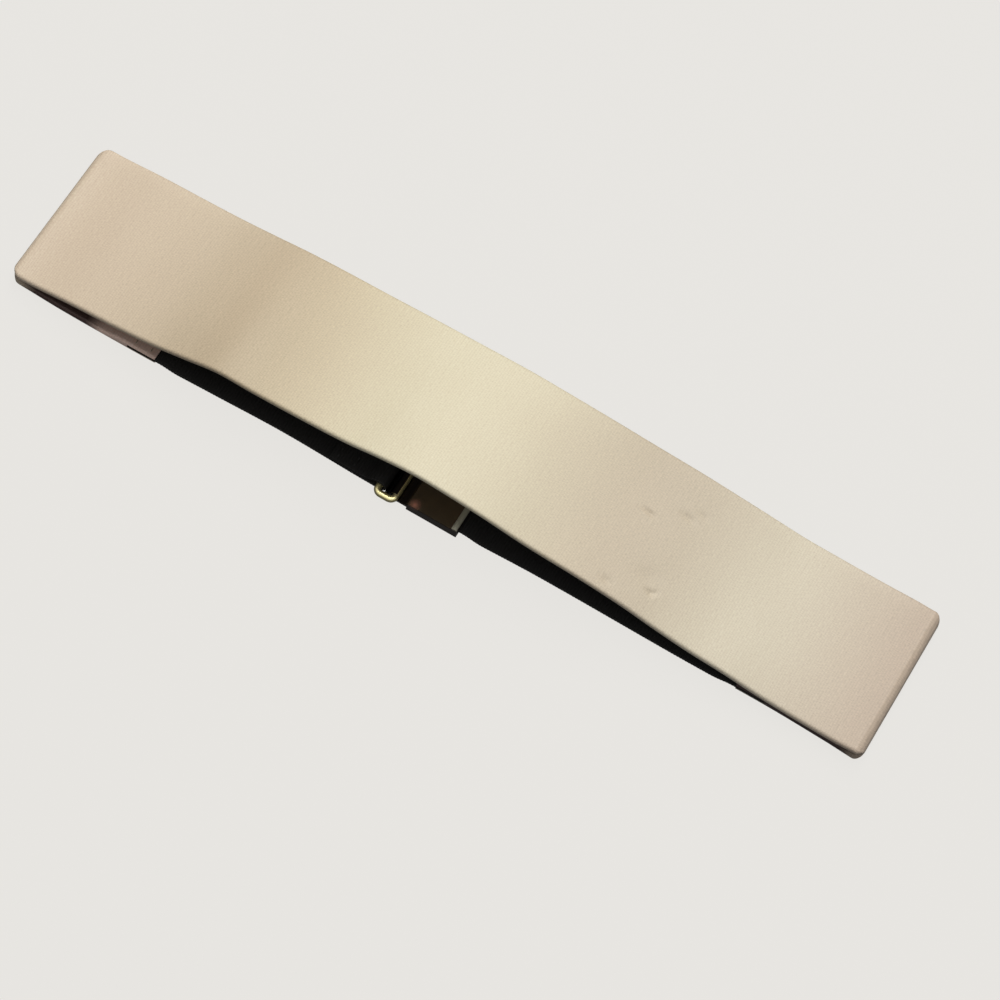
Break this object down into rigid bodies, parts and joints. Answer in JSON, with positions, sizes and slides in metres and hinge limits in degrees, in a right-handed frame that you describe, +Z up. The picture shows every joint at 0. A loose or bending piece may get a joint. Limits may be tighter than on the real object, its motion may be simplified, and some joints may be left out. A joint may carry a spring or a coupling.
{
  "type": "elastic stretch belt",
  "caption": "Wide tan stretch belt with a black elastic back and a gold-tone hook clasp, fastened into a flattened loop and lying on its back portion.",
  "frame": {"origin": "centre of the overall box at its base, on the surface that the fastened belt lies on", "axes": "+X along the flattened loop, towards the end fold at the hook plate's side; +Y across the band, away from the rim that arches highest; +Z up, from the back portion to the front panel"},
  "size_m": [0.335, 0.0666, 0.0262],
  "materials": {
    "tan_webbing": "soft satin weave with fine crosswise ribs",
    "black_elastic": "matt ribbed elastic",
    "gold_metal": "polished"
  },
  "bodies": {
    "root": {"tan_band": "tan_webbing", "elastic_left": "black_elastic", "elastic_right": "black_elastic", "clasp_ring": "gold_metal", "clasp_hook": "gold_metal"}
  },
  "joints": []
}
